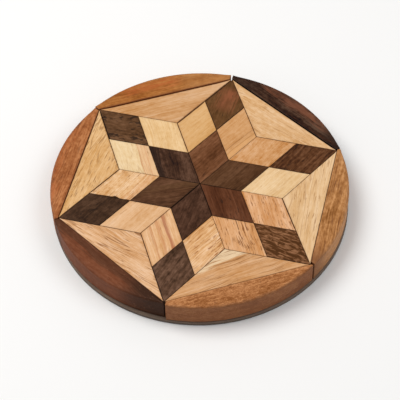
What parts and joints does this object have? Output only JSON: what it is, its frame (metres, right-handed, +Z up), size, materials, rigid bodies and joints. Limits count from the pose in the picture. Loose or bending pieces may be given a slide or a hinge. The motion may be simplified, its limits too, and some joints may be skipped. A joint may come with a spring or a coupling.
{
  "type": "wooden star mosaic puzzle",
  "caption": "Round wooden star puzzle: loose dark, light and brown tiles laid edge to edge on a thin round board, each lifting straight out.",
  "frame": {"origin": "centre of the base board's underside, on the table", "axes": "+Z up out of the tiles' face, +Y towards the tip of arm 1; arms are numbered clockwise seen from above"},
  "size_m": [0.1505, 0.1509, 0.0145],
  "materials": {
    "light_tile_wood": "sanded and waxed pale hardwood, satin",
    "dark_tile_wood": "sanded and waxed dark brown hardwood, satin",
    "brown_rim_wood": "sanded and waxed orange-brown hardwood, satin",
    "dark_rim_wood": "sanded and waxed blackish-brown hardwood, satin",
    "board": "plain grey-brown wood-fibre board, matte"
  },
  "bodies": {
    "board": {"base_board": "board"},
    "inner_dark_rhombus_1": {"inner_dark_rhombus_1": "dark_tile_wood"},
    "inner_dark_rhombus_2": {"inner_dark_rhombus_2": "dark_tile_wood"},
    "inner_dark_rhombus_3": {"inner_dark_rhombus_3": "dark_tile_wood"},
    "inner_dark_rhombus_4": {"inner_dark_rhombus_4": "dark_tile_wood"},
    "inner_dark_rhombus_5": {"inner_dark_rhombus_5": "dark_tile_wood"},
    "inner_dark_rhombus_6": {"inner_dark_rhombus_6": "dark_tile_wood"},
    "light_left_rhombus_1": {"light_left_rhombus_1": "light_tile_wood"},
    "light_left_rhombus_2": {"light_left_rhombus_2": "light_tile_wood"},
    "light_left_rhombus_3": {"light_left_rhombus_3": "light_tile_wood"},
    "light_left_rhombus_4": {"light_left_rhombus_4": "light_tile_wood"},
    "light_left_rhombus_5": {"light_left_rhombus_5": "light_tile_wood"},
    "light_left_rhombus_6": {"light_left_rhombus_6": "light_tile_wood"},
    "light_right_rhombus_1": {"light_right_rhombus_1": "light_tile_wood"},
    "light_right_rhombus_2": {"light_right_rhombus_2": "light_tile_wood"},
    "light_right_rhombus_3": {"light_right_rhombus_3": "light_tile_wood"},
    "light_right_rhombus_4": {"light_right_rhombus_4": "light_tile_wood"},
    "light_right_rhombus_5": {"light_right_rhombus_5": "light_tile_wood"},
    "light_right_rhombus_6": {"light_right_rhombus_6": "light_tile_wood"},
    "outer_dark_rhombus_1": {"outer_dark_rhombus_1": "dark_tile_wood"},
    "outer_dark_rhombus_2": {"outer_dark_rhombus_2": "dark_tile_wood"},
    "outer_dark_rhombus_3": {"outer_dark_rhombus_3": "dark_tile_wood"},
    "outer_dark_rhombus_4": {"outer_dark_rhombus_4": "dark_tile_wood"},
    "outer_dark_rhombus_5": {"outer_dark_rhombus_5": "dark_tile_wood"},
    "outer_dark_rhombus_6": {"outer_dark_rhombus_6": "dark_tile_wood"},
    "notch_triangle_1": {"notch_triangle_1": "light_tile_wood"},
    "notch_triangle_2": {"notch_triangle_2": "light_tile_wood"},
    "notch_triangle_3": {"notch_triangle_3": "light_tile_wood"},
    "notch_triangle_4": {"notch_triangle_4": "light_tile_wood"},
    "notch_triangle_5": {"notch_triangle_5": "light_tile_wood"},
    "notch_triangle_6": {"notch_triangle_6": "light_tile_wood"},
    "rim_segment_1": {"rim_segment_1": "dark_rim_wood"},
    "rim_segment_2": {"rim_segment_2": "brown_rim_wood"},
    "rim_segment_3": {"rim_segment_3": "brown_rim_wood"},
    "rim_segment_4": {"rim_segment_4": "dark_rim_wood"},
    "rim_segment_5": {"rim_segment_5": "brown_rim_wood"},
    "rim_segment_6": {"rim_segment_6": "brown_rim_wood"}
  },
  "joints": [
    {"name": "lift_inner_dark_rhombus_1", "type": "slide", "parent": "board", "child": "inner_dark_rhombus_1", "axis": [0, 0, 1], "range_m": [0, 0.02]},
    {"name": "lift_inner_dark_rhombus_2", "type": "slide", "parent": "board", "child": "inner_dark_rhombus_2", "axis": [0, 0, 1], "range_m": [0, 0.02]},
    {"name": "lift_inner_dark_rhombus_3", "type": "slide", "parent": "board", "child": "inner_dark_rhombus_3", "axis": [0, 0, 1], "range_m": [0, 0.02]},
    {"name": "lift_inner_dark_rhombus_4", "type": "slide", "parent": "board", "child": "inner_dark_rhombus_4", "axis": [0, 0, 1], "range_m": [0, 0.02]},
    {"name": "lift_inner_dark_rhombus_5", "type": "slide", "parent": "board", "child": "inner_dark_rhombus_5", "axis": [0, 0, 1], "range_m": [0, 0.02]},
    {"name": "lift_inner_dark_rhombus_6", "type": "slide", "parent": "board", "child": "inner_dark_rhombus_6", "axis": [0, 0, 1], "range_m": [0, 0.02]},
    {"name": "lift_light_left_rhombus_1", "type": "slide", "parent": "board", "child": "light_left_rhombus_1", "axis": [0, 0, 1], "range_m": [0, 0.02]},
    {"name": "lift_light_left_rhombus_2", "type": "slide", "parent": "board", "child": "light_left_rhombus_2", "axis": [0, 0, 1], "range_m": [0, 0.02]},
    {"name": "lift_light_left_rhombus_3", "type": "slide", "parent": "board", "child": "light_left_rhombus_3", "axis": [0, 0, 1], "range_m": [0, 0.02]},
    {"name": "lift_light_left_rhombus_4", "type": "slide", "parent": "board", "child": "light_left_rhombus_4", "axis": [0, 0, 1], "range_m": [0, 0.02]},
    {"name": "lift_light_left_rhombus_5", "type": "slide", "parent": "board", "child": "light_left_rhombus_5", "axis": [0, 0, 1], "range_m": [0, 0.02]},
    {"name": "lift_light_left_rhombus_6", "type": "slide", "parent": "board", "child": "light_left_rhombus_6", "axis": [0, 0, 1], "range_m": [0, 0.02]},
    {"name": "lift_light_right_rhombus_1", "type": "slide", "parent": "board", "child": "light_right_rhombus_1", "axis": [0, 0, 1], "range_m": [0, 0.02]},
    {"name": "lift_light_right_rhombus_2", "type": "slide", "parent": "board", "child": "light_right_rhombus_2", "axis": [0, 0, 1], "range_m": [0, 0.02]},
    {"name": "lift_light_right_rhombus_3", "type": "slide", "parent": "board", "child": "light_right_rhombus_3", "axis": [0, 0, 1], "range_m": [0, 0.02]},
    {"name": "lift_light_right_rhombus_4", "type": "slide", "parent": "board", "child": "light_right_rhombus_4", "axis": [0, 0, 1], "range_m": [0, 0.02]},
    {"name": "lift_light_right_rhombus_5", "type": "slide", "parent": "board", "child": "light_right_rhombus_5", "axis": [0, 0, 1], "range_m": [0, 0.02]},
    {"name": "lift_light_right_rhombus_6", "type": "slide", "parent": "board", "child": "light_right_rhombus_6", "axis": [0, 0, 1], "range_m": [0, 0.02]},
    {"name": "lift_outer_dark_rhombus_1", "type": "slide", "parent": "board", "child": "outer_dark_rhombus_1", "axis": [0, 0, 1], "range_m": [0, 0.02]},
    {"name": "lift_outer_dark_rhombus_2", "type": "slide", "parent": "board", "child": "outer_dark_rhombus_2", "axis": [0, 0, 1], "range_m": [0, 0.02]},
    {"name": "lift_outer_dark_rhombus_3", "type": "slide", "parent": "board", "child": "outer_dark_rhombus_3", "axis": [0, 0, 1], "range_m": [0, 0.02]},
    {"name": "lift_outer_dark_rhombus_4", "type": "slide", "parent": "board", "child": "outer_dark_rhombus_4", "axis": [0, 0, 1], "range_m": [0, 0.02]},
    {"name": "lift_outer_dark_rhombus_5", "type": "slide", "parent": "board", "child": "outer_dark_rhombus_5", "axis": [0, 0, 1], "range_m": [0, 0.02]},
    {"name": "lift_outer_dark_rhombus_6", "type": "slide", "parent": "board", "child": "outer_dark_rhombus_6", "axis": [0, 0, 1], "range_m": [0, 0.02]},
    {"name": "lift_notch_triangle_1", "type": "slide", "parent": "board", "child": "notch_triangle_1", "axis": [0, 0, 1], "range_m": [0, 0.02]},
    {"name": "lift_notch_triangle_2", "type": "slide", "parent": "board", "child": "notch_triangle_2", "axis": [0, 0, 1], "range_m": [0, 0.02]},
    {"name": "lift_notch_triangle_3", "type": "slide", "parent": "board", "child": "notch_triangle_3", "axis": [0, 0, 1], "range_m": [0, 0.02]},
    {"name": "lift_notch_triangle_4", "type": "slide", "parent": "board", "child": "notch_triangle_4", "axis": [0, 0, 1], "range_m": [0, 0.02]},
    {"name": "lift_notch_triangle_5", "type": "slide", "parent": "board", "child": "notch_triangle_5", "axis": [0, 0, 1], "range_m": [0, 0.02]},
    {"name": "lift_notch_triangle_6", "type": "slide", "parent": "board", "child": "notch_triangle_6", "axis": [0, 0, 1], "range_m": [0, 0.02]},
    {"name": "lift_rim_segment_1", "type": "slide", "parent": "board", "child": "rim_segment_1", "axis": [0, 0, 1], "range_m": [0, 0.02]},
    {"name": "lift_rim_segment_2", "type": "slide", "parent": "board", "child": "rim_segment_2", "axis": [0, 0, 1], "range_m": [0, 0.02]},
    {"name": "lift_rim_segment_3", "type": "slide", "parent": "board", "child": "rim_segment_3", "axis": [0, 0, 1], "range_m": [0, 0.02]},
    {"name": "lift_rim_segment_4", "type": "slide", "parent": "board", "child": "rim_segment_4", "axis": [0, 0, 1], "range_m": [0, 0.02]},
    {"name": "lift_rim_segment_5", "type": "slide", "parent": "board", "child": "rim_segment_5", "axis": [0, 0, 1], "range_m": [0, 0.02]},
    {"name": "lift_rim_segment_6", "type": "slide", "parent": "board", "child": "rim_segment_6", "axis": [0, 0, 1], "range_m": [0, 0.02]}
  ]
}
